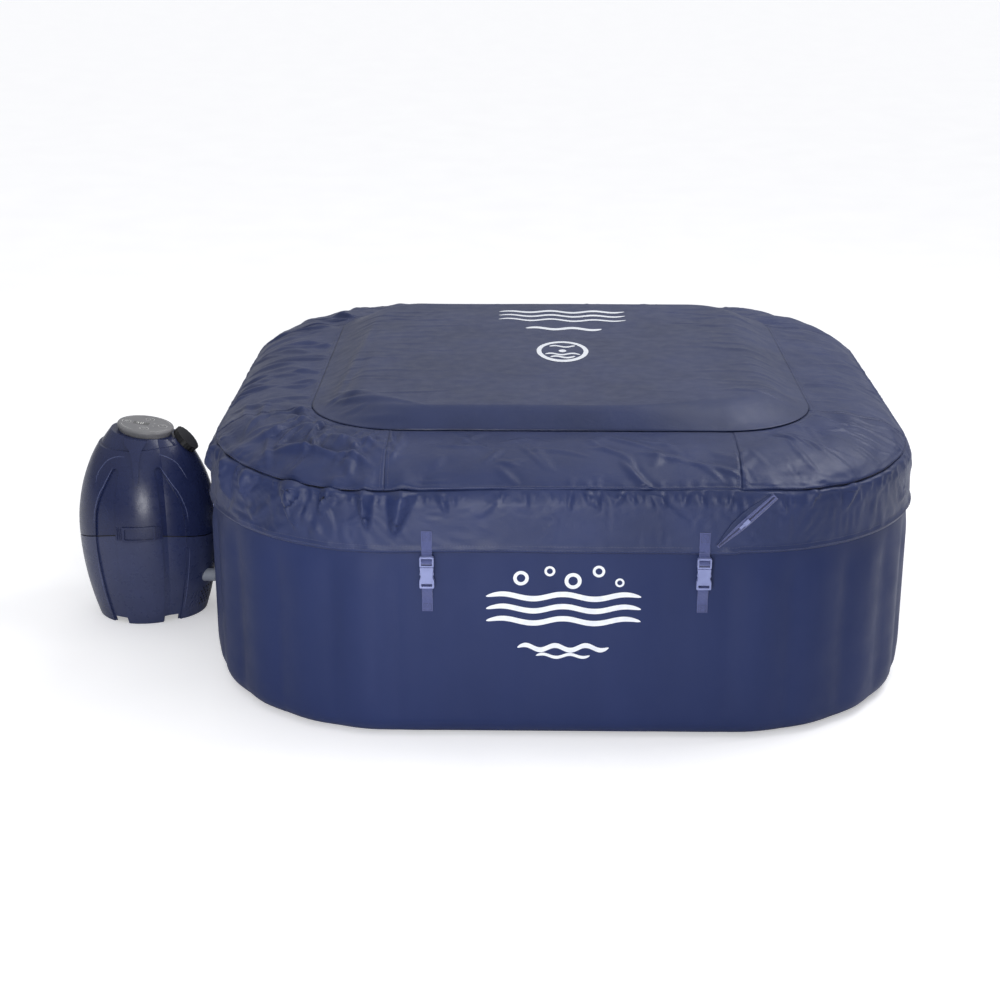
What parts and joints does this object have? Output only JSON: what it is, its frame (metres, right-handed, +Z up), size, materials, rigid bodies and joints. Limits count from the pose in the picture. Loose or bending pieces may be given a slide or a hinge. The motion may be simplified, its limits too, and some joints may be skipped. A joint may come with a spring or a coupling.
{
  "type": "inflatable hot tub",
  "caption": "Square inflatable tub with a fitted fabric cover, buckled straps and an egg-shaped pump and heater unit on one side.",
  "frame": {"origin": "on the ground at the centre of the tub's flat base", "axes": "+Z up, -Y towards the front of the tub, the pump unit stands on the -X side"},
  "size_m": [2.2779, 1.848, 0.758],
  "materials": {
    "wall_pvc": "satin",
    "liner_pvc": "satin",
    "cover_fabric": "satin",
    "webbing": "matt",
    "buckle": "satin",
    "zip": "matt",
    "pump_plastic": "gloss",
    "panel": "satin",
    "display": "gloss",
    "black_plastic": "satin",
    "fitting": "satin",
    "white_plastic": "satin",
    "filter_paper": "matt",
    "seal": "matt",
    "steel": "brushed",
    "motor": "satin",
    "board": "satin"
  },
  "bodies": {
    "tub": {"outer_wall": "wall_pvc", "inner_wall": "liner_pvc", "top_ring": "wall_pvc", "base_sheet": "liner_pvc", "wall_webs": "wall_pvc", "bubble_channel": "liner_pvc", "water_pipes": "fitting", "air_pipe": "fitting", "filter_housing": "white_plastic", "filter_cartridge": "filter_paper", "debris_screen": "white_plastic", "air_valve_body": "fitting", "drain_valve_body": "fitting", "clip_sockets": "buckle", "wall_straps": "webbing"},
    "cover": {"cover_top_panel": "cover_fabric", "cover_side_strips": "cover_fabric", "cover_corners": "cover_fabric", "cover_skirt": "cover_fabric", "lid_insert": "liner_pvc", "cover_straps": "webbing", "zip_tape": "zip"},
    "pump": {"pump_upper_shell": "pump_plastic", "pump_lower_shell": "pump_plastic", "waist_gasket": "seal", "waist_latches": "pump_plastic", "pump_base_plate": "black_plastic", "case_screws": "steel", "control_bezel": "panel", "display_window": "display", "circuit_board": "board", "pump_volute": "black_plastic", "pump_motor": "motor", "blower_housing": "black_plastic", "heater_tube": "steel", "pump_pipes": "fitting", "air_outlet_neck": "fitting", "cord_gland": "black_plastic"},
    "zip_slider": {"zip_slider": "buckle"},
    "clip_1": {"clip_plug_1": "buckle"},
    "clip_2": {"clip_plug_2": "buckle"},
    "clip_3": {"clip_plug_3": "buckle"},
    "clip_4": {"clip_plug_4": "buckle"},
    "clip_5": {"clip_plug_5": "buckle"},
    "clip_6": {"clip_plug_6": "buckle"},
    "clip_7": {"clip_plug_7": "buckle"},
    "clip_8": {"clip_plug_8": "buckle"},
    "filter_cap": {"filter_cap": "white_plastic"},
    "air_valve_cap": {"air_valve_cap": "fitting"},
    "drain_cap": {"drain_cap": "black_plastic"},
    "union_nut_inlet": {"union_nut_inlet": "fitting"},
    "union_nut_outlet": {"union_nut_outlet": "fitting"},
    "union_nut_air": {"union_nut_air": "fitting"},
    "air_outlet_cap": {"air_outlet_cap": "black_plastic"},
    "pump_impeller": {"pump_impeller": "white_plastic"},
    "blower_fan": {"blower_fan": "white_plastic"},
    "button_1": {"button_1": "panel"},
    "button_2": {"button_2": "panel"},
    "button_3": {"button_3": "panel"},
    "button_4": {"button_4": "panel"}
  },
  "joints": [
    {"name": "cover_lift", "type": "slide", "parent": "tub", "child": "cover", "axis": [0, 0, 1], "range_m": [0, 0.8]},
    {"name": "pump_pull_away", "type": "slide", "parent": "tub", "child": "pump", "axis": [-1, 0, 0], "range_m": [0, 0.12]},
    {"name": "zip_pull", "type": "slide", "parent": "cover", "child": "zip_slider", "axis": [-0.7262, 0, -0.6874], "range_m": [0, 0.07]},
    {"name": "clip_1_unclip", "type": "slide", "parent": "cover", "child": "clip_1", "axis": [0, 0, 1], "range_m": [0, 0.032]},
    {"name": "clip_2_unclip", "type": "slide", "parent": "cover", "child": "clip_2", "axis": [0, 0, 1], "range_m": [0, 0.032]},
    {"name": "clip_3_unclip", "type": "slide", "parent": "cover", "child": "clip_3", "axis": [0, 0, 1], "range_m": [0, 0.032]},
    {"name": "clip_4_unclip", "type": "slide", "parent": "cover", "child": "clip_4", "axis": [0, 0, 1], "range_m": [0, 0.032]},
    {"name": "clip_5_unclip", "type": "slide", "parent": "cover", "child": "clip_5", "axis": [0, 0, 1], "range_m": [0, 0.032]},
    {"name": "clip_6_unclip", "type": "slide", "parent": "cover", "child": "clip_6", "axis": [0, 0, 1], "range_m": [0, 0.032]},
    {"name": "clip_7_unclip", "type": "slide", "parent": "cover", "child": "clip_7", "axis": [0, 0, 1], "range_m": [0, 0.032]},
    {"name": "clip_8_unclip", "type": "slide", "parent": "cover", "child": "clip_8", "axis": [0, 0, 1], "range_m": [0, 0.032]},
    {"name": "filter_cap_twist", "type": "hinge", "parent": "tub", "child": "filter_cap", "pos_m": [-0.54, -0.13, 0.12], "axis": [1, 0, 0], "range_deg": [0, 90]},
    {"name": "air_valve_cap_turn", "type": "hinge", "parent": "tub", "child": "air_valve_cap", "pos_m": [-0.912, 0.2, 0.4], "axis": [-1, 0, 0], "range_deg": [0, 540]},
    {"name": "drain_cap_turn", "type": "hinge", "parent": "tub", "child": "drain_cap", "pos_m": [0.2, 0.915, 0.07], "axis": [0, 1, 0], "range_deg": [0, 540]},
    {"name": "inlet_nut_turn", "type": "hinge", "parent": "pump", "child": "union_nut_inlet", "pos_m": [-0.93, -0.13, 0.12], "axis": [-1, 0, 0], "range_deg": [0, 720]},
    {"name": "outlet_nut_turn", "type": "hinge", "parent": "pump", "child": "union_nut_outlet", "pos_m": [-0.93, -0.01, 0.12], "axis": [-1, 0, 0], "range_deg": [0, 720]},
    {"name": "air_nut_turn", "type": "hinge", "parent": "pump", "child": "union_nut_air", "pos_m": [-0.93, -0.07, 0.27], "axis": [-1, 0, 0], "range_deg": [0, 720]},
    {"name": "air_outlet_cap_turn", "type": "hinge", "parent": "pump", "child": "air_outlet_cap", "pos_m": [-1.03805, -0.07, 0.508], "axis": [0.7431, 0, 0.6691], "range_deg": [0, 540]},
    {"name": "impeller_spin", "type": "hinge", "parent": "pump", "child": "pump_impeller", "pos_m": [-1.21, -0.045, 0.05], "axis": [0, 0, 1], "continuous": true},
    {"name": "fan_spin", "type": "hinge", "parent": "pump", "child": "blower_fan", "pos_m": [-1.175, -0.07, 0.36], "axis": [0, 0, 1], "continuous": true},
    {"name": "button_1_press", "type": "slide", "parent": "pump", "child": "button_1", "axis": [-0.1478, 0, -0.989], "range_m": [0, 0.001], "stiffness_N_per_m": 400, "springref_m": -0.001},
    {"name": "button_2_press", "type": "slide", "parent": "pump", "child": "button_2", "axis": [-0.1478, 0, -0.989], "range_m": [0, 0.001], "stiffness_N_per_m": 400, "springref_m": -0.001},
    {"name": "button_3_press", "type": "slide", "parent": "pump", "child": "button_3", "axis": [-0.1478, 0, -0.989], "range_m": [0, 0.001], "stiffness_N_per_m": 400, "springref_m": -0.001},
    {"name": "button_4_press", "type": "slide", "parent": "pump", "child": "button_4", "axis": [-0.1478, 0, -0.989], "range_m": [0, 0.001], "stiffness_N_per_m": 400, "springref_m": -0.001}
  ]
}
